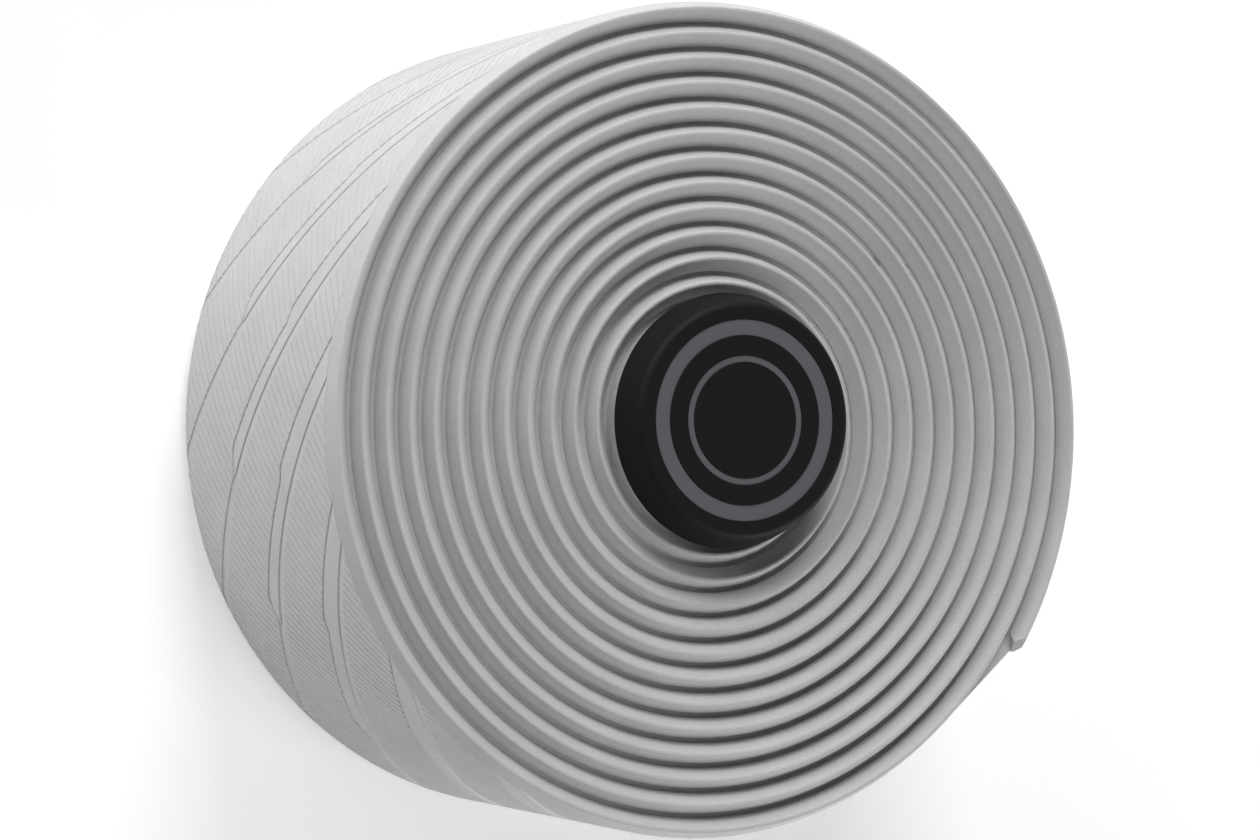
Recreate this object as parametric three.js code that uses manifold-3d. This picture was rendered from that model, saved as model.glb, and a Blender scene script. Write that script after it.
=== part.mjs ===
// Roll of bicycle handlebar tape with its bar-end plug, in millimetres, +Z up.
// The roll stands on one side of the tape, so the winding turns about Z, and the
// plug is pushed into the core from above with its cap against the turns.
import * as THREE from 'three';
import { mergeVertices } from 'three/addons/utils/BufferGeometryUtils.js';
import Module from 'manifold-3d';

const TURN = 2 * Math.PI;

// The tape
const tapeWidth = 40;
const tapeThickness = 2;
// Both long edges are bevelled from the two faces to a blunt nose inside the thickness
const noseFromInside = 1.2;
const noseLand = 0.3;
const insideBevelDepth = 1.25;
const outsideBevelDepth = 1.35;

// The winding: clockwise from the core outwards, seen from above
const coreRadius = 8.8;
const turnGap = 0.44;
const turns = 12.94;
const outerEndAngle = THREE.MathUtils.degToRad(-33.4);
const stepsPerTurn = 48;

// The loose outer end has the same blunt nose, and its two corners are cut off
const endInsideBevelLength = 1.5;
const endOutsideBevelLength = 1.4;
const endCornerLength = 1.5;
const endCornerDepth = 1.2;

// The bar-end plug: a cap and a hollow stem with flexible fins
const seatClearance = 0.3;
const capBaseRadius = 12.5;
const capHeight = 3.7;
const capDraft = 0.9;
const capEdgeRadius = 0.75;
const capBaseEdge = 0.25;
const capWall = 3.5;
const stemLength = 21;
const stemWall = 1.5;
const stemLeadIn = 1.2;
const stemLeadTaper = 0.7;
const finCount = 4;
const finHeight = 1.1;
const finThickness = 1.3;
const finTip = 0.5;
const finSpacing = 4.2;
const firstFinDrop = 4.4;
const plugSides = 20;
const capEdgeSteps = 3;

const turnPitch = tapeThickness + turnGap;
const innerEndAngle = outerEndAngle + TURN * turns;

// Archimedean spiral that the tape's inside face follows, in equal steps of angle
class WindingSpiral extends THREE.Curve {
  radiusAt(wound) {
    return coreRadius + (turnPitch * wound) / TURN;
  }

  getPoint(share, target = new THREE.Vector3()) {
    const wound = TURN * turns * share;
    const angle = innerEndAngle - wound;
    const radius = this.radiusAt(wound);
    return target.set(radius * Math.cos(angle), radius * Math.sin(angle), 0);
  }

  getTangent(share, target = new THREE.Vector3()) {
    const wound = TURN * turns * share;
    const angle = innerEndAngle - wound;
    const radius = this.radiusAt(wound);
    const growth = turnPitch / TURN;
    const x = growth * Math.cos(angle) + radius * Math.sin(angle);
    const y = growth * Math.sin(angle) - radius * Math.cos(angle);
    return target.set(x, y, 0).normalize();
  }

  getUtoTmapping(share) {
    return share;
  }
}

// Outline from [x, y] pairs
function outline(pairs) {
  return new THREE.Shape(pairs.map(([x, y]) => new THREE.Vector2(x, y)));
}

// Section of the tape: its width runs down the section's x, its thickness up y
function tapeSection() {
  const noseStart = noseFromInside - noseLand / 2;
  const noseEnd = noseFromInside + noseLand / 2;
  const top = -tapeWidth;
  return outline([
    [-insideBevelDepth, 0],
    [top + insideBevelDepth, 0],
    [top, noseStart],
    [top, noseEnd],
    [top + outsideBevelDepth, tapeThickness],
    [-outsideBevelDepth, tapeThickness],
    [0, noseEnd],
    [0, noseStart],
  ]);
}

// Frame at the loose outer end: x along the tape, y out of the roll, z along the axis
function outerEndFrame() {
  const spiral = new WindingSpiral();
  const along = spiral.getTangent(1);
  const up = new THREE.Vector3(0, 0, 1);
  const outward = new THREE.Vector3().crossVectors(up, along);
  return new THREE.Matrix4().makeBasis(along, outward, up).setPosition(spiral.getPoint(1));
}

// Wedges that take the loose end's two faces to a nose and cut its two corners
function endCutters() {
  const reach = turnGap / 2;
  const insideRise = noseFromInside - noseLand / 2;
  const outsideDrop = tapeThickness - noseFromInside - noseLand / 2;
  const insideSlope = insideRise / endInsideBevelLength;
  const outsideSlope = outsideDrop / endOutsideBevelLength;
  const cornerSlope = endCornerDepth / endCornerLength;
  const insideFace = outline([
    [-endInsideBevelLength - reach / insideSlope, -reach],
    [reach, -reach],
    [reach, insideRise + reach * insideSlope],
  ]);
  const outsideFace = outline([
    [-endOutsideBevelLength - reach / outsideSlope, tapeThickness + reach],
    [reach, tapeThickness - outsideDrop - reach * outsideSlope],
    [reach, tapeThickness + reach],
  ]);
  const corner = outline([
    [-endCornerLength - reach / cornerSlope, reach],
    [reach, -endCornerDepth - reach * cornerSlope],
    [reach, reach],
  ]);
  const overWidth = { depth: tapeWidth + 2 * reach, bevelEnabled: false };
  const overThickness = { depth: tapeThickness + 2 * reach, bevelEnabled: false };
  const faces = [insideFace, outsideFace].map((shape) =>
    new THREE.ExtrudeGeometry(shape, overWidth).translate(0, 0, -reach));
  const cornerBlock = () => new THREE.ExtrudeGeometry(corner, overThickness).translate(0, 0, -reach);
  // Stood up, the corner's outline lies along the tape and the axis, through its thickness
  const topCorner = cornerBlock().rotateX(Math.PI / 2).translate(0, tapeThickness, tapeWidth);
  const bottomCorner = cornerBlock().rotateX(-Math.PI / 2);
  return [...faces, topCorner, bottomCorner].map((cutter) => cutter.applyMatrix4(outerEndFrame()));
}

// Closed solid of a geometry, with its shared corners merged
function toSolid(wasm, geometry) {
  const bare = geometry.clone();
  bare.deleteAttribute('normal');
  bare.deleteAttribute('uv');
  const merged = mergeVertices(bare, 1e-4);
  return new wasm.Manifold(new wasm.Mesh({
    numProp: 3,
    vertProperties: new Float32Array(merged.attributes.position.array),
    triVerts: new Uint32Array(merged.index.array),
  }));
}

// Flat-shaded geometry of a solid
function toGeometry(solid) {
  const mesh = solid.getMesh();
  const geometry = new THREE.BufferGeometry();
  geometry.setAttribute('position', new THREE.BufferAttribute(new Float32Array(mesh.vertProperties), 3));
  geometry.setIndex(new THREE.BufferAttribute(new Uint32Array(mesh.triVerts), 1));
  const flat = geometry.toNonIndexed();
  flat.computeVertexNormals();
  return flat;
}

// The whole tape, wound up as one strip, with its loose end tapered
function tapeGeometry(wasm) {
  const strip = new THREE.ExtrudeGeometry(tapeSection(), {
    steps: Math.round(stepsPerTurn * turns),
    extrudePath: new WindingSpiral(),
  });
  const solid = endCutters().reduce(
    (body, cutter) => body.subtract(toSolid(wasm, cutter)),
    toSolid(wasm, strip),
  );
  return toGeometry(solid);
}

// The core is a little off the spiral's own centre, because its wall steps in by one pitch
function coreCentre() {
  const offset = turnPitch / Math.PI;
  const angle = innerEndAngle + Math.PI / 2;
  return new THREE.Vector2(offset * Math.cos(angle), offset * Math.sin(angle));
}

// Smallest distance from the core's centre to the inside face of the first turn
function coreClearRadius() {
  const spiral = new WindingSpiral();
  const centre = coreCentre();
  const reach = Array.from({ length: stepsPerTurn + 1 }, (_, i) => {
    const point = spiral.getPoint(i / stepsPerTurn / turns);
    return Math.hypot(point.x - centre.x, point.y - centre.y);
  });
  return Math.min(...reach);
}

// Half-outline of one fin, from the stem's wall out to its tip and back, going up
function finOutline(stemRadius, finRadius, top) {
  return [
    [stemRadius, top - finThickness],
    [finRadius, top - (finThickness + finTip) / 2],
    [finRadius, top - (finThickness - finTip) / 2],
    [stemRadius, top],
  ];
}

// Quarter round between the cap's side and its face
function capEdge(centreRadius) {
  return Array.from({ length: capEdgeSteps + 1 }, (_, i) => {
    const angle = (i / capEdgeSteps) * (Math.PI / 2);
    const rise = capEdgeRadius * (Math.sin(angle) - 1);
    return [centreRadius + capEdgeRadius * Math.cos(angle), capHeight + rise];
  });
}

// Half-outline of the plug, from the hollow's end on the axis round to the face's centre,
// with the underside of the cap at height 0
function plugOutline() {
  const finRadius = coreClearRadius() - seatClearance;
  const stemRadius = finRadius - finHeight;
  const boreRadius = stemRadius - stemWall;
  const hollowEnd = capHeight - capWall;
  const finTops = Array.from({ length: finCount }, (_, i) => -firstFinDrop - i * finSpacing).reverse();
  return [
    [0, hollowEnd],
    [boreRadius, hollowEnd],
    [boreRadius, -stemLength],
    [stemRadius - stemLeadTaper, -stemLength],
    [stemRadius, stemLeadIn - stemLength],
    ...finTops.flatMap((top) => finOutline(stemRadius, finRadius, top)),
    [stemRadius, 0],
    [capBaseRadius - capBaseEdge, 0],
    [capBaseRadius, capBaseEdge],
    ...capEdge(capBaseRadius - capDraft - capEdgeRadius),
    [0, capHeight],
  ];
}

function plugGeometry() {
  const points = plugOutline().map(([radius, height]) => new THREE.Vector2(radius, height));
  return new THREE.LatheGeometry(points, plugSides).rotateX(Math.PI / 2);
}

function matte(color, roughness) {
  return new THREE.MeshStandardMaterial({ color, roughness, metalness: 0 });
}

function namedMesh(name, geometry, material) {
  const mesh = new THREE.Mesh(geometry, material);
  mesh.name = name;
  return mesh;
}

const wasm = await Module();
wasm.setup();

const tape = namedMesh('tape', tapeGeometry(wasm), matte('#d9d9d9', 0.85));
const endPlug = namedMesh('end_plug', plugGeometry(), matte('#1f1f1f', 0.5));
const centre = coreCentre();
endPlug.position.set(centre.x, centre.y, tapeWidth + seatClearance);

// The roll stands with the middle of its outline over the origin
const roll = new THREE.Group();
roll.add(tape, endPlug);
const bounds = new THREE.Box3().setFromObject(roll);
roll.position.set(-(bounds.min.x + bounds.max.x) / 2, -(bounds.min.y + bounds.max.y) / 2, 0);

export default roll;
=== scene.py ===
"""Looks of a roll of bicycle handlebar tape with its bar-end plug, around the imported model.

The tape is shaped flat, as it comes off the machine, with its skived edges, its cut end and the
grip pattern pressed into its outer face, and is then wound into the roll. Sizes are in
millimetres until a mesh is finished, and its object is in metres.
"""

import logging
import math
from collections.abc import Callable, Iterable, Sequence
from dataclasses import dataclass, field
from enum import Enum, IntEnum
from typing import TypeVar

import bmesh
import bpy
from mathutils import Matrix, Vector


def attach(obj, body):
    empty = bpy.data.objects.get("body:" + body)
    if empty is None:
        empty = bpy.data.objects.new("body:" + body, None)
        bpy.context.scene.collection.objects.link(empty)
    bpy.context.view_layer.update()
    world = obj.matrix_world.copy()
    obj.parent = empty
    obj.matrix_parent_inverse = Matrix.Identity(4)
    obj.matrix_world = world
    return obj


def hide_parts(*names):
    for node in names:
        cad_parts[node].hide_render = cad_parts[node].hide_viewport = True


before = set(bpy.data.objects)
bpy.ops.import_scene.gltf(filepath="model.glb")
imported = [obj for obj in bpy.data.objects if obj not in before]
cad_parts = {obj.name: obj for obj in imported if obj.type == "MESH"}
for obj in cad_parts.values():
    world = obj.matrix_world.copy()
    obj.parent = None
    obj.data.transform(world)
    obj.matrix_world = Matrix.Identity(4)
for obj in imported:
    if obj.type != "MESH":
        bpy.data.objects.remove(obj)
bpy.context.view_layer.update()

log = logging.getLogger("tape_roll")

Item = TypeVar("Item")

METRES = 0.001
TURN = 2 * math.pi
# Edges that fold by more than this stay crisp
SHARP_ANGLE = math.radians(24)
# Places closer than this, in millimetres, count as one
CLOSE = 1e-4
# Lines across the laps for each groove: its bottom, its rim, the ridge's middle and the next rim
GROOVE_LINES = 4
# The ink's place in the list of the plug's materials
INK = 1


class Slot(Enum):
    """The record's material slots."""

    TAPE = "tape"
    PLUG = "plug"


def linear(code: str) -> tuple[float, float, float, float]:
    """Turns an sRGB hex colour to linear.

    Args:
        code: the colour, such as "#c8c8c8".

    Returns:
        Linear red, green, blue and an alpha of 1.
    """
    parts = [int(code[i : i + 2], 16) / 255 for i in (1, 3, 5)]
    red, green, blue = (p / 12.92 if p <= 0.04045 else ((p + 0.055) / 1.055) ** 2.4 for p in parts)
    return red, green, blue, 1.0


def add_node(
    tree: bpy.types.NodeTree,
    kind: str,
    settings: dict[str, object] | None = None,
    inputs: dict[str | int, object] | None = None,
) -> bpy.types.Node:
    """Adds a node with its settings, values and links.

    Args:
        tree: the node tree that gets the node.
        kind: the node's type name, such as "ShaderNodeBump".
        settings: attributes of the node.
        inputs: for each input, a value or the output socket that feeds it.

    Returns:
        The new node.
    """
    node = tree.nodes.new(kind)
    for name, value in (settings or {}).items():
        setattr(node, name, value)
    for key, value in (inputs or {}).items():
        if isinstance(value, bpy.types.NodeSocket):
            tree.links.new(value, node.inputs[key])
        else:
            node.inputs[key].default_value = value
    return node


def new_material(name: str) -> tuple[bpy.types.Material, bpy.types.NodeTree, bpy.types.Node]:
    """Makes a material that holds only a Principled shader and its output.

    Args:
        name: what the real material is.

    Returns:
        The material, its node tree and the Principled node.
    """
    material = bpy.data.materials.new(name)
    material.use_nodes = True
    tree = material.node_tree
    tree.nodes.clear()
    shader = add_node(tree, "ShaderNodeBsdfPrincipled")
    add_node(tree, "ShaderNodeOutputMaterial", inputs={"Surface": shader.outputs["BSDF"]})
    return material, tree, shader


@dataclass(frozen=True)
class FoamFinish:
    """Closed-cell polyurethane foam with a pressed skin: pale grey, matt, with a fine grain."""

    name: str = "pressed PU foam skin"
    light: str = "#cacaca"
    dark: str = "#acacac"
    roughness: float = 0.78
    specular: float = 0.3
    """Specular level, where 0.5 is usual: the open skin of the foam hardly shines."""
    grain: float = 0.32
    """Width of one grain in mm. A real one is about 0.1 mm, which is too fine to show."""
    grain_height: float = 0.016
    cloud: float = 6.0
    """Width in mm of the faint clouds that pressing leaves in the skin."""
    cloud_share: float = 0.45

    def build(self) -> bpy.types.Material:
        """Makes the foam's material. A Mix node's numbers are inputs 2 and 3, its colours 6 and 7."""
        material, tree, shader = new_material(self.name)
        place = add_node(tree, "ShaderNodeTexCoord").outputs["Object"]
        grain = add_node(
            tree, "ShaderNodeTexNoise",
            inputs={"Vector": place, "Scale": 1 / (self.grain * METRES), "Detail": 2.0, "Roughness": 0.6},
        )
        cloud = add_node(
            tree, "ShaderNodeTexNoise",
            inputs={"Vector": place, "Scale": 1 / (self.cloud * METRES), "Detail": 3.0},
        )
        mottle = add_node(
            tree, "ShaderNodeMix", {"data_type": "FLOAT"},
            {"Factor": self.cloud_share, 2: grain.outputs["Fac"], 3: cloud.outputs["Fac"]},
        )
        tone = add_node(
            tree, "ShaderNodeMix", {"data_type": "RGBA"},
            {"Factor": mottle.outputs[0], 6: linear(self.dark), 7: linear(self.light)},
        )
        bump = add_node(
            tree, "ShaderNodeBump",
            inputs={
                "Strength": 1.0, "Distance": self.grain_height * METRES, "Height": grain.outputs["Fac"],
            },
        )
        tree.links.new(tone.outputs[2], shader.inputs["Base Color"])
        tree.links.new(bump.outputs["Normal"], shader.inputs["Normal"])
        shader.inputs["Roughness"].default_value = self.roughness
        shader.inputs["Specular IOR Level"].default_value = self.specular
        return material


@dataclass(frozen=True)
class MouldedFinish:
    """Moulded polyethylene with a spark-eroded grain: dark and even, with hardly a highlight."""

    name: str
    colour: str
    roughness: float
    specular: float = 0.11
    """Specular level, where 0.5 is usual for plastic. It is low because no highlight shows."""
    polish_range: float = 0.06
    """How far the roughness goes up and down from grain to grain."""
    grain: float = 0.25
    """Width of one grain in mm. A real one is about 0.05 mm, which is too fine to show."""
    grain_height: float = 0.004

    def build(self) -> bpy.types.Material:
        """Makes the plastic's material."""
        material, tree, shader = new_material(self.name)
        place = add_node(tree, "ShaderNodeTexCoord").outputs["Object"]
        grain = add_node(
            tree, "ShaderNodeTexNoise",
            inputs={"Vector": place, "Scale": 1 / (self.grain * METRES), "Detail": 1.0},
        )
        polish = add_node(
            tree, "ShaderNodeMapRange",
            inputs={
                "Value": grain.outputs["Fac"],
                "To Min": self.roughness - self.polish_range,
                "To Max": self.roughness + self.polish_range,
            },
        )
        bump = add_node(
            tree, "ShaderNodeBump",
            inputs={
                "Strength": 1.0, "Distance": self.grain_height * METRES, "Height": grain.outputs["Fac"],
            },
        )
        shader.inputs["Base Color"].default_value = linear(self.colour)
        shader.inputs["Specular IOR Level"].default_value = self.specular
        tree.links.new(polish.outputs["Result"], shader.inputs["Roughness"])
        tree.links.new(bump.outputs["Normal"], shader.inputs["Normal"])
        return material


def once_each(items: Iterable[Item]) -> list[Item]:
    """Lists each item once, in the order given. A set's order changes from run to run."""
    return list(dict.fromkeys(items))


def moved(bm: bmesh.types.BMesh, verts: Iterable[bmesh.types.BMVert], by: Sequence[float]) -> None:
    """Moves some vertices by a vector."""
    bmesh.ops.translate(bm, verts=list(verts), vec=Vector(by))


def finished(
    name: str, bm: bmesh.types.BMesh, materials: Sequence[bpy.types.Material]
) -> bpy.types.Object:
    """Turns a shape in millimetres to an object in metres, with crisp edges and smooth faces.

    Args:
        name: the piece's name.
        bm: the shape, which is freed.
        materials: the materials, in the order of the faces' material numbers.

    Returns:
        The object, at the origin and linked to the scene.
    """
    bmesh.ops.recalc_face_normals(bm, faces=bm.faces)
    if bm.calc_volume(signed=True) < 0:
        bmesh.ops.reverse_faces(bm, faces=bm.faces)
    for face in bm.faces:
        face.smooth = True
    for edge in bm.edges:
        edge.smooth = len(edge.link_faces) == 2 and edge.calc_face_angle(math.pi) < SHARP_ANGLE
    bmesh.ops.transform(bm, matrix=Matrix.Scale(METRES, 4), verts=bm.verts)
    mesh = bpy.data.meshes.new(name)
    bm.to_mesh(mesh)
    bm.free()
    for material in materials:
        mesh.materials.append(material)
    piece = bpy.data.objects.new(name, mesh)
    bpy.context.scene.collection.objects.link(piece)
    return piece


@dataclass(frozen=True)
class Winding:
    """The spiral that the tape's inside face follows, from the loose end in to the core.

    Flat, the tape lies with x along it from the loose end, y through its thickness from the
    inside face, and z across its width.
    """

    axis_x: float = -0.608
    axis_y: float = -0.608
    core_radius: float = 8.8
    pitch: float = 2.44
    turns: float = 12.94
    end_angle: float = math.radians(-33.4)
    middle: float = 1.0
    """Height in the tape's thickness that keeps its length when the tape is wound."""

    @property
    def end_radius(self) -> float:
        """Radius of the inside face at the loose end."""
        return self.core_radius + self.pitch * self.turns

    @property
    def length(self) -> float:
        """Length of the tape."""
        return self.length_to(TURN * self.turns)

    def length_to(self, wound: float) -> float:
        """Length from the loose end to a wound angle."""
        return (self.end_radius + self.middle) * wound - self.pitch * wound**2 / (2 * TURN)

    def angle_at(self, length: float) -> float:
        """Wound angle at a length from the loose end."""
        start = self.end_radius + self.middle
        return (start - math.sqrt(start**2 - 2 * self.pitch * length / TURN)) * TURN / self.pitch

    def wind(self, bm: bmesh.types.BMesh) -> None:
        """Winds up a flat shape.

        Args:
            bm: the flat shape, which is changed.
        """
        for vert in bm.verts:
            along, height, across = vert.co
            wound = self.angle_at(along)
            radius = self.end_radius - self.pitch * wound / TURN + height
            angle = self.end_angle + wound
            vert.co = (
                self.axis_x + radius * math.cos(angle), self.axis_y + radius * math.sin(angle), across,
            )


class LapLine(IntEnum):
    """The lines along one lap, from its edge to the grooves that follow it."""

    EDGE = 0
    FOOT = 1
    TOP = 2
    SECOND_EDGE = 3
    SECOND_FOOT = 4
    PLAIN_END = 5
    GROOVES = 6


@dataclass(frozen=True)
class GripRelief:
    """The pattern pressed into the outer face: long laps at 45 degrees, with fine grooves between.

    Depth runs from the tape's front edge across its width. Across the laps, v is measured at
    right angles to them, and u runs along them.
    """

    period: float = 15.1
    """Distance from lap to lap along the tape."""
    grooves: int = 10
    groove_width: float = 0.2
    groove_depth: float = 0.22
    groove_start: float = 3.69
    groove_run_in: float = 0.3
    lap_drop: float = 0.13
    lap_step: float = 0.1
    lap_ramp: float = 0.78
    second_lap: float = 2.69
    least_strip: float = 0.22
    """Least distance from the first lap's foot to the second lap."""
    top_clearance: float = 0.02
    merge_reach: float = 1.6
    """Distance between the two laps' edges under which they merge into one slope."""
    step_depths: tuple[float, float] = (13.6, 25.8)
    """Depths at which the first lap steps sideways."""
    step_shifts: tuple[float, float] = (0.69, 1.64)
    step_blend: float = 0.7
    spans: int = 4
    """Columns of faces along each groove, so that it bends with the winding."""
    phase: float = 6.0
    """Distance from the loose end to the first lap, at the front edge."""
    width: float = 40.0
    """Width of the tape."""
    surface: float = 2.0
    """Height of the tape's outer face."""
    margin: float = 0.5
    """How far a tile reaches past its two sides before it is cut to them."""
    weld: float = 0.004
    """Distance under which the corners of two tiles are made one."""
    halvings: int = 32
    """Steps in which a crossing is closed in on."""

    @property
    def pitch(self) -> float:
        """Distance from lap to lap at right angles to them."""
        return self.period / math.sqrt(2)

    def shift(self, depth: float) -> float:
        """How far the first lap has stepped sideways at a depth."""
        total = 0.0
        for middle, by in zip(self.step_depths, self.step_shifts):
            share = min(max((depth - middle) / self.step_blend + 0.5, 0.0), 1.0)
            total += by * share * share * (3 - 2 * share)
        return total

    def column(self, index: int, depth: float) -> tuple[float, float, float]:
        """One line of the pattern along the laps.

        Args:
            index: the line's number: a LapLine, or past it one of the columns of the grooves.
            depth: where on the line, as the lines step sideways.

        Returns:
            Its v, the surface's height there, and its share of the grooves' depth.
        """
        lap = self.shift(depth)
        foot = lap + self.lap_step
        second = max(self.second_lap, foot + self.least_strip)
        second_foot = second + self.lap_step
        top = min(lap + self.lap_ramp, second - self.top_clearance)
        rise = self.lap_drop / (self.lap_ramp - self.lap_step)
        if index == LapLine.EDGE:
            return lap, 0.0, 1.0
        if index == LapLine.FOOT:
            return foot, -self.lap_drop, 0.0
        single = max(0.0, 1 - (self.second_lap - lap) / self.merge_reach)
        slope = self.lap_drop / (self.groove_start - foot)
        if index == LapLine.TOP:
            full = min(0.0, -self.lap_drop + rise * (top - foot))
            return top, full * (1 - single) - (self.groove_start - top) * slope * single, 0.0
        if index == LapLine.SECOND_EDGE:
            return second, -(self.groove_start - second) * slope * single, 0.0
        if index == LapLine.SECOND_FOOT:
            drop = self.lap_drop * (1 - single)
            return second_foot, -drop - (self.groove_start - second_foot) * slope * single, 0.0
        if index == LapLine.PLAIN_END:
            return self.groove_start, 0.0, 0.0
        start = self.groove_start + self.groove_run_in
        share = (index - LapLine.GROOVES) / self.spans
        end = self.pitch + lap
        return start + share * (end - start), 0.0, 1.0

    def crossing(self, index: int, u: float) -> tuple[float, float, float]:
        """Where a line along the laps crosses a line across them.

        Args:
            index: number of the line along the laps.
            u: place of the line across them.

        Returns:
            The v, height and share of the grooves' depth there.
        """
        near, far = 0.0, 2 * self.pitch
        for _ in range(self.halvings):
            v = (near + far) / 2
            if self.column(index, (u - v) / math.sqrt(2))[0] > v:
                near = v
            else:
                far = v
        return self.column(index, (u - v) / math.sqrt(2))

    @property
    def columns(self) -> int:
        """Number of faces from one lap's edge to the next."""
        return LapLine.GROOVES + self.spans

    def line(self, index: int) -> tuple[float, float]:
        """One line of the pattern across the laps.

        Args:
            index: the line's number, from the bottom of one groove to the next.

        Returns:
            Its u and its share of the groove's depth.
        """
        groove, place = divmod(index, GROOVE_LINES)
        half = self.groove_width / 2
        space = self.pitch / self.grooves
        offset, deep = ((0.0, 1.0), (half, 0.0), (space / 2, 0.0), (space - half, 0.0))[place]
        return groove * space + offset, deep

    def tile(self, low: float, high: float) -> bpy.types.Mesh:
        """One period of the pattern between two depths, on the flat tape's outer face.

        Args:
            low: depth of the side nearer the front edge.
            high: depth of the other side.

        Returns:
            The mesh, to be repeated along x by the period.
        """
        space = self.pitch / self.grooves
        first = math.floor((low * math.sqrt(2) - self.margin) / space)
        reach = high * math.sqrt(2) + self.pitch + sum(self.step_shifts) + self.margin
        last = math.ceil(reach / space)
        rows = (last - first) * GROOVE_LINES
        bm = bmesh.new()
        bmesh.ops.create_grid(bm, x_segments=rows, y_segments=self.columns, size=1)
        for vert in bm.verts:
            row = round((vert.co.x + 1) / 2 * rows)
            place = round((vert.co.y + 1) / 2 * self.columns)
            u, deep = self.line(first * GROOVE_LINES + row)
            v, height, share = self.crossing(place, u)
            height -= deep * share * self.groove_depth
            vert.co = ((u + v) / math.sqrt(2), self.surface + height, self.width - (u - v) / math.sqrt(2))
        for depth, outward in ((low, 1.0), (high, -1.0)):
            bmesh.ops.bisect_plane(
                bm, geom=[*bm.verts, *bm.edges, *bm.faces], dist=CLOSE,
                plane_co=(0, 0, self.width - depth), plane_no=(0, 0, outward), clear_outer=True,
            )
        mesh = bpy.data.meshes.new("relief tile")
        bm.to_mesh(mesh)
        bm.free()
        return mesh

    def sheet(
        self, bm: bmesh.types.BMesh, tile: bpy.types.Mesh, start: float, end: float
    ) -> list[bmesh.types.BMEdge]:
        """Adds a rectangle of the pattern to the flat tape.

        Args:
            bm: the flat tape.
            tile: one period of the pattern.
            start: where the rectangle starts along the tape.
            end: where it ends.

        Returns:
            The edges around the rectangle.
        """
        reach = [vert.co.x for vert in tile.vertices]
        first = math.floor((start - self.phase - max(reach)) / self.period)
        last = math.ceil((end - self.phase - min(reach)) / self.period)
        sheet = bmesh.new()
        for copy in range(first, last + 1):
            known = len(sheet.verts)
            sheet.from_mesh(tile)
            sheet.verts.ensure_lookup_table()
            moved(sheet, sheet.verts[known:], (self.phase + copy * self.period, 0, 0))
        for place, outward in ((start, -1.0), (end, 1.0)):
            bmesh.ops.bisect_plane(
                sheet, geom=[*sheet.verts, *sheet.edges, *sheet.faces], dist=CLOSE,
                plane_co=(place, 0, 0), plane_no=(outward, 0, 0), clear_outer=True,
            )
        bmesh.ops.remove_doubles(sheet, verts=sheet.verts, dist=self.weld)
        flat = bpy.data.meshes.new("relief sheet")
        sheet.to_mesh(flat)
        sheet.free()
        known = set(bm.edges)
        bm.from_mesh(flat)
        bpy.data.meshes.remove(flat)
        return [edge for edge in bm.edges if edge.is_boundary and edge not in known]


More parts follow.
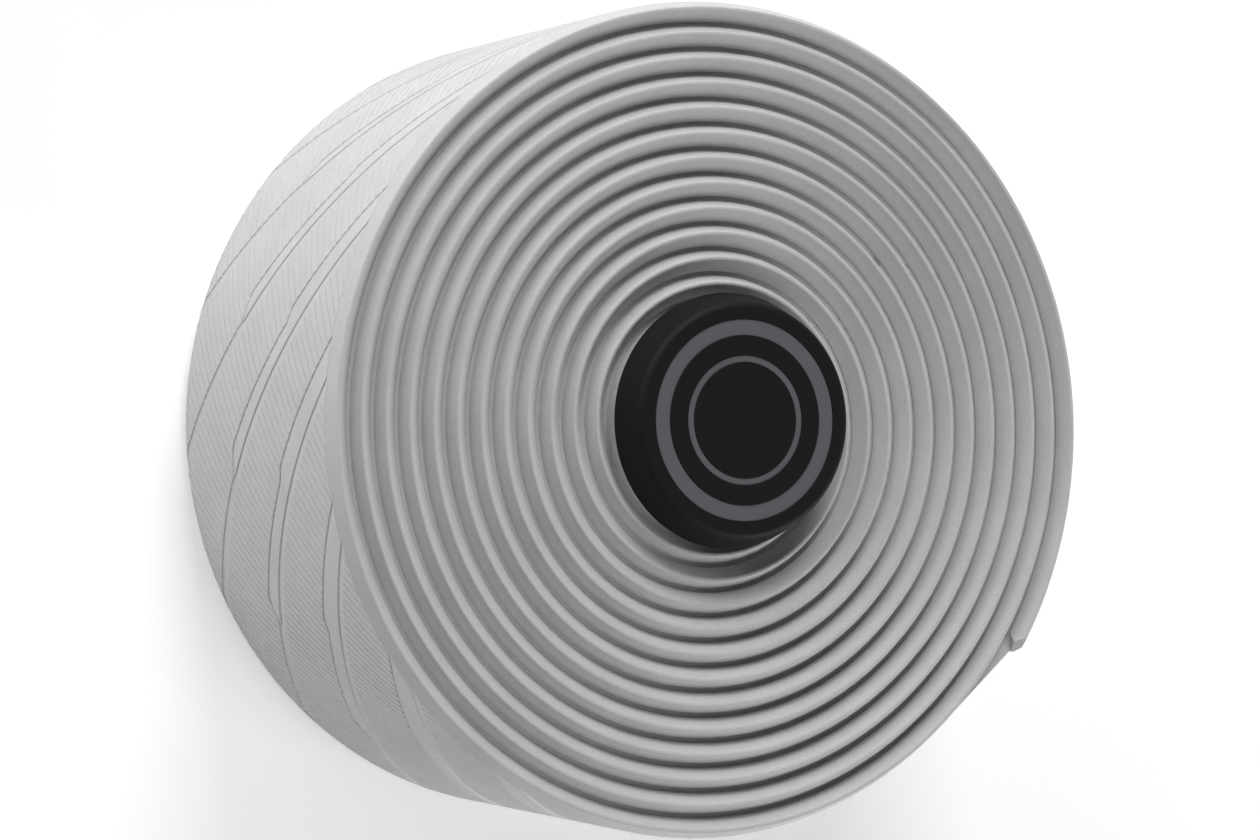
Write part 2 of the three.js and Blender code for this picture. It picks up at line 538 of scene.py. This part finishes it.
@dataclass
class TapeRoll:
    """The handlebar tape: one strip with skived edges, wound into a roll."""

    width: float = 40.0
    thickness: float = 2.0
    nose_low: float = 1.05
    nose_high: float = 1.35
    inside_bevel: float = 1.25
    outside_bevel: float = 1.35
    nose_round: float = 0.07
    crease_round: float = 0.06
    end_inside_bevel: float = 1.5
    end_outside_bevel: float = 1.4
    end_corner_length: float = 1.5
    end_corner_depth: float = 1.2
    step: float = 1.68
    """Length of one face along the tape."""
    cut_reach: float = 1.76
    """How far from the loose end the cuts work: just over one step."""
    band: float = 2.5
    """Depth of the bands beside the edges that show in the gaps between the turns."""
    band_edge: float = 0.1
    """Width of the bands' inner side, where no edge is rounded."""
    rim: float = 0.06
    """Width of the plain rim around a pressed rectangle."""
    relief_turns: float = 1.13
    """Turns of the outer face that are open to view."""
    relief_start: float = 1.6
    """Where the pattern starts, from the loose end."""
    winding: Winding = field(default_factory=Winding)
    finish: FoamFinish = field(default_factory=FoamFinish)

    def section(self, bm: bmesh.types.BMesh) -> bmesh.types.BMFace:
        """Adds the tape's section at the loose end.

        Args:
            bm: an empty shape.

        Returns:
            The section's face.
        """
        half = [
            (0.0, self.inside_bevel), (self.nose_low, 0.0), (self.nose_high, 0.0),
            (self.thickness, self.outside_bevel), (self.thickness, self.band),
        ]
        outline = half + [(height, self.width - depth) for height, depth in reversed(half)]
        verts = [bm.verts.new((0.0, height, across)) for height, across in outline]
        return bmesh.ops.contextual_create(bm, geom=verts)["faces"][0]

    def long_edges(
        self, bm: bmesh.types.BMesh, wanted: Callable[[Vector], bool] = lambda at: True
    ) -> list[bmesh.types.BMEdge]:
        """The edges that run along the tape, where wanted says so of a point on them."""
        return [
            edge for edge in bm.edges
            if abs(edge.verts[0].co.x - edge.verts[1].co.x) > self.step / 2
            and wanted(edge.verts[0].co)
        ]

    def round_edges(self, bm: bmesh.types.BMesh, heights: Sequence[float], radius: float) -> None:
        """Rounds the long edges at some heights, each with one narrow face.

        Args:
            bm: the flat strip.
            heights: the heights of the edges.
            radius: how far the rounding reaches from each edge.
        """
        near_edge = self.band - self.band_edge

        def wanted(at: Vector) -> bool:
            depth = min(at.z, self.width - at.z)
            return depth < near_edge and any(abs(at.y - height) < CLOSE for height in heights)

        bmesh.ops.bevel(
            bm, geom=self.long_edges(bm, wanted), offset=radius, segments=1,
            profile=0.5, affect="EDGES", material=-1, clamp_overlap=True,
        )

    def cut_end(self, bm: bmesh.types.BMesh) -> None:
        """Skives the loose end's two faces and cuts its two corners."""
        inside = Vector((self.end_inside_bevel, 0, 0))
        outside = Vector((self.end_outside_bevel, self.thickness, 0))
        front = Vector((0, 0, self.width - self.end_corner_depth))
        back = Vector((0, 0, self.end_corner_depth))
        cuts = (
            (inside, Vector((-self.nose_low, -self.end_inside_bevel, 0))),
            (outside, Vector((self.nose_high - self.thickness, self.end_outside_bevel, 0))),
            (front, Vector((-self.end_corner_depth, 0, self.end_corner_length))),
            (back, Vector((-self.end_corner_depth, 0, -self.end_corner_length))),
        )
        for place, outward in cuts:
            near = [vert for vert in bm.verts if vert.co.x < self.cut_reach]
            edges = once_each(edge for vert in near for edge in vert.link_edges)
            faces = once_each(face for vert in near for face in vert.link_faces)
            bmesh.ops.bisect_plane(
                bm, geom=[*near, *edges, *faces], dist=CLOSE,
                plane_co=place, plane_no=outward.normalized(), clear_outer=True,
            )
            bmesh.ops.holes_fill(bm, edges=[edge for edge in bm.edges if edge.is_boundary])

    def strip(self) -> bmesh.types.BMesh:
        """Makes the plain flat strip, with rounded edges and a cut end."""
        bm = bmesh.new()
        face = self.section(bm)
        length = self.winding.length
        made = bmesh.ops.extrude_face_region(bm, geom=[face])["geom"]
        moved(bm, (v for v in made if isinstance(v, bmesh.types.BMVert)), (length, 0, 0))
        self.round_edges(bm, (self.nose_low, self.nose_high), self.nose_round)
        self.round_edges(bm, (self.thickness,), self.crease_round)
        steps = round(length / self.step)
        bmesh.ops.subdivide_edges(bm, edges=self.long_edges(bm), cuts=steps - 1, use_grid_fill=True)
        # Evened out, because small rounding errors add up along each edge, from either end of it
        for vert in bm.verts:
            vert.co.x = round(vert.co.x / length * steps) * length / steps
        return bm

    def press(
        self,
        bm: bmesh.types.BMesh,
        outer: Sequence[tuple[bmesh.types.BMFace, Vector]],
        depths: tuple[float, float],
        ends: Sequence[float],
    ) -> None:
        """Presses the grip pattern into a band of the outer face, a stretch at a time.

        Args:
            bm: the flat strip.
            outer: the faces of the outer face, each with its middle.
            depths: the band's two sides.
            ends: where each stretch starts, and where the last one ends.
        """
        band = [
            (face, at.x) for face, at in outer
            if depths[0] < self.width - at.z < depths[1] and ends[0] < at.x < ends[-1]
        ]
        sides = [self.width - vert.co.z for face, _ in band for vert in face.verts]
        relief = GripRelief(width=self.width, surface=self.thickness)
        tile = relief.tile(min(sides) + self.rim, max(sides) - self.rim)
        for start, end in zip(ends, ends[1:]):
            faces = [face for face, place in band if start < place < end]
            reach = [vert.co.x for face in faces for vert in face.verts]
            edges = once_each(edge for face in faces for edge in face.edges)
            bmesh.ops.delete(bm, geom=faces, context="FACES")
            opening = [edge for edge in edges if edge.is_valid]
            around = relief.sheet(bm, tile, min(reach) + self.rim, max(reach) - self.rim)
            bmesh.ops.triangle_fill(
                bm, edges=[*opening, *around], use_beauty=True, use_dissolve=False, normal=(0, 1, 0)
            )
        bpy.data.meshes.remove(tile)

    def press_all(self, bm: bmesh.types.BMesh) -> None:
        """Presses the pattern where it shows: in the open turn, and by the others' two edges."""
        outer = [
            (face, face.calc_center_median()) for face in bm.faces
            if all(abs(vert.co.y - self.thickness) < CLOSE for vert in face.verts)
        ]
        wound = [self.relief_turns + turn for turn in range(math.ceil(self.winding.turns))]
        ends = [self.winding.length_to(turns * TURN) for turns in wound if turns < self.winding.turns]
        self.press(bm, outer, (0.0, self.width), [self.relief_start, ends[0]])
        for depths in ((0.0, self.band), (self.width - self.band, self.width)):
            self.press(bm, outer, depths, [*ends, self.winding.length])

    def build(self) -> bpy.types.Object:
        """Builds the tape."""
        bm = self.strip()
        self.press_all(bm)
        self.cut_end(bm)
        self.winding.wind(bm)
        tape = finished("tape_winding", bm, [self.finish.build()])
        normals = tape.modifiers.new("flat bevels", "WEIGHTED_NORMAL")
        normals.keep_sharp = True
        return tape


@dataclass
class EndPlug:
    """The bar-end plug: a round cap on a hollow stem with flexible fins."""

    axis_x: float = 0.028
    axis_y: float = -0.163
    seat: float = 40.3
    """Height of the cap's underside."""
    base_radius: float = 12.5
    height: float = 3.7
    draft: float = 0.9
    edge_radius: float = 0.75
    base_edge: float = 0.25
    wall: float = 3.5
    fin_radius: float = 8.53
    fin_height: float = 1.1
    fin_thickness: float = 1.3
    fin_tip: float = 0.5
    fin_spacing: float = 4.2
    first_fin: float = 4.4
    fins: int = 4
    stem_wall: float = 1.5
    stem_length: float = 21.0
    stem_taper: float = 0.7
    lead_in: float = 1.2
    sides: int = 144
    edge_steps: int = 8
    """Faces across the rounding of the cap's edge."""
    rings: tuple[tuple[float, float], ...] = ((9.8, 8.2), (6.3, 5.6))
    """Outer and inner radius of each grey ring on the cap's face."""
    ring_depth: float = 0.08
    ring_slope: float = 0.05
    plastic: MouldedFinish = MouldedFinish("moulded black polyethylene", "#1a1a1a", 0.55)
    print_ink: MouldedFinish = MouldedFinish("grey pad-printed ink", "#5e5d62", 0.6)

    @property
    def face_radius(self) -> float:
        """Radius of the flat of the cap's face."""
        return self.base_radius - self.draft - self.edge_radius

    def outline(self) -> list[tuple[float, float]]:
        """Half-outline of the plug, from the hollow's end on the axis round to the face's centre."""
        stem = self.fin_radius - self.fin_height
        bore = stem - self.stem_wall
        ceiling = self.height - self.wall
        points = [(0.0, ceiling), (bore, ceiling), (bore, -self.stem_length)]
        points += [(stem - self.stem_taper, -self.stem_length), (stem, self.lead_in - self.stem_length)]
        for number in reversed(range(self.fins)):
            top = -self.first_fin - number * self.fin_spacing
            middle = top - self.fin_thickness / 2
            points += [
                (stem, top - self.fin_thickness), (self.fin_radius, middle - self.fin_tip / 2),
                (self.fin_radius, middle + self.fin_tip / 2), (stem, top),
            ]
        points += [(stem, 0.0), (self.base_radius - self.base_edge, 0.0)]
        points.append((self.base_radius, self.base_edge))
        for step in range(self.edge_steps + 1):
            angle = step / self.edge_steps * math.pi / 2
            drop = self.edge_radius * (1 - math.sin(angle))
            points.append((self.face_radius + self.edge_radius * math.cos(angle), self.height - drop))
        for outer, inner in self.rings:
            sunk = self.height - self.ring_depth
            points += [(outer, self.height), (outer - self.ring_slope, sunk)]
            points += [(inner + self.ring_slope, sunk), (inner, self.height)]
        return points + [(0.0, self.height)]

    def build(self) -> bpy.types.Object:
        """Builds the plug."""
        bm = bmesh.new()
        verts = [bm.verts.new((radius, 0.0, height)) for radius, height in self.outline()]
        edges = [bm.edges.new(pair) for pair in zip(verts, verts[1:])]
        bmesh.ops.spin(
            bm, geom=[*verts, *edges], cent=(0, 0, 0), axis=(0, 0, 1), angle=TURN,
            steps=self.sides, use_merge=True, use_duplicate=False,
        )
        bmesh.ops.remove_doubles(bm, verts=bm.verts, dist=CLOSE)
        self.ink(bm)
        moved(bm, bm.verts, (self.axis_x, self.axis_y, self.seat))
        return finished("bar_end_plug", bm, [self.plastic.build(), self.print_ink.build()])

    def ink(self, bm: bmesh.types.BMesh) -> None:
        """Inks the sunk rings of the cap's face."""
        sunk = self.height - self.ring_depth
        for face in bm.faces:
            if all(abs(vert.co.z - sunk) < CLOSE for vert in face.verts):
                face.material_index = INK


@dataclass(frozen=True)
class SoftBox:
    """A square soft box that faces the roll. Sizes are in millimetres, angles in degrees."""

    name: str
    bearing: float
    """Direction from the roll, anticlockwise from +X as seen from above."""
    rise: float
    """Angle above the floor."""
    size: float
    power: float
    """Power in watts."""
    distance: float = 900.0

    def build(self) -> bpy.types.Object:
        """Adds the light to the scene."""
        data = bpy.data.lights.new(self.name, "AREA")
        data.shape = "SQUARE"
        data.size = self.size * METRES
        data.energy = self.power
        bearing, rise = math.radians(self.bearing), math.radians(self.rise)
        level = math.cos(rise)
        towards = Vector((level * math.cos(bearing), level * math.sin(bearing), math.sin(rise)))
        light = bpy.data.objects.new(self.name, data)
        turn = (-towards).to_track_quat("-Z", "Y").to_matrix().to_4x4()
        light.matrix_world = Matrix.Translation(towards * self.distance * METRES) @ turn
        bpy.context.scene.collection.objects.link(light)
        return light


@dataclass
class Studio:
    """A plain pale floor, soft boxes around the roll and the camera."""

    floor_reach: float = 3000.0
    floor_cells: int = 8
    floor_colour: str = "#fbfbfb"
    floor_roughness: float = 0.9
    floor_glow: float = 0.21
    """Light that comes up through the floor, as from a light table, and keeps it white."""
    boxes: tuple[SoftBox, ...] = (
        SoftBox("large soft box behind the roll", bearing=90, rise=18, size=700, power=3),
        SoftBox("large soft box behind, at the left", bearing=135, rise=18, size=700, power=5),
        SoftBox("large soft box in front, at the right", bearing=315, rise=18, size=700, power=7),
        SoftBox("small soft box above, behind", bearing=90, rise=38, size=320, power=4),
        SoftBox("small soft box above, in front", bearing=270, rise=38, size=320, power=1),
        SoftBox("small soft box above, at the left", bearing=225, rise=38, size=320, power=0.5),
    )
    camera_place: tuple[float, float, float] = (-166.165, -4.723, 342.559)
    camera_yaw: float = math.radians(27.2269)
    """Turn of the view from straight down, towards +X."""
    camera_pitch: float = math.radians(-0.7686)
    """Turn of the view towards -Y, and below zero towards +Y."""
    lens: float = 100.974
    sensor: float = 36.0

    def build_floor(self) -> bpy.types.Object:
        """Builds the floor that the roll stands on."""
        material, _, shader = new_material("pale paper backdrop")
        shader.inputs["Base Color"].default_value = linear(self.floor_colour)
        shader.inputs["Roughness"].default_value = self.floor_roughness
        shader.inputs["Emission Color"].default_value = linear("#ffffff")
        shader.inputs["Emission Strength"].default_value = self.floor_glow
        bm = bmesh.new()
        cells = self.floor_cells
        bmesh.ops.create_grid(bm, x_segments=cells, y_segments=cells, size=self.floor_reach)
        floor = finished("floor", bm, [material])
        return floor

    def build_camera(self) -> None:
        """Sets up the camera at the photograph's angle."""
        level = math.cos(self.camera_pitch)
        view = Vector((
            math.sin(self.camera_yaw) * level,
            -math.sin(self.camera_pitch),
            -math.cos(self.camera_yaw) * level,
        ))
        right = view.cross(Vector((0, 1, 0))).normalized()
        up = right.cross(view)
        data = bpy.data.cameras.new("camera")
        data.sensor_width = self.sensor
        data.lens = self.lens
        camera = bpy.data.objects.new("camera", data)
        turn = Matrix((right, up, -view)).transposed().to_4x4()
        camera.matrix_world = Matrix.Translation(Vector(self.camera_place) * METRES) @ turn
        bpy.context.scene.collection.objects.link(camera)
        bpy.context.scene.camera = camera

    def build_lights(self) -> None:
        """Sets up the soft boxes in a dark room."""
        for box in self.boxes:
            box.build()
        world = bpy.data.worlds.new("dark room")
        world.use_nodes = True
        world.node_tree.nodes.clear()
        dark = add_node(world.node_tree, "ShaderNodeBackground", inputs={"Strength": 0.0})
        add_node(world.node_tree, "ShaderNodeOutputWorld", inputs={"Surface": dark.outputs[0]})
        bpy.context.scene.world = world
        bpy.context.scene.view_settings.view_transform = "Standard"


def main() -> None:
    """Builds the roll, its plug and the studio."""
    logging.basicConfig(level=logging.INFO, format="%(message)s")
    studio = Studio()
    studio.build_camera()
    studio.build_lights()
    studio.build_floor()

    tape = TapeRoll().build()
    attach(tape, "root")
    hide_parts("tape")
    log.info("tape: %d faces", len(tape.data.polygons))

    plug = EndPlug().build()
    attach(plug, "root")
    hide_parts("end_plug")
    log.info("end plug: %d faces", len(plug.data.polygons))


if __name__ == "__main__":
    main()
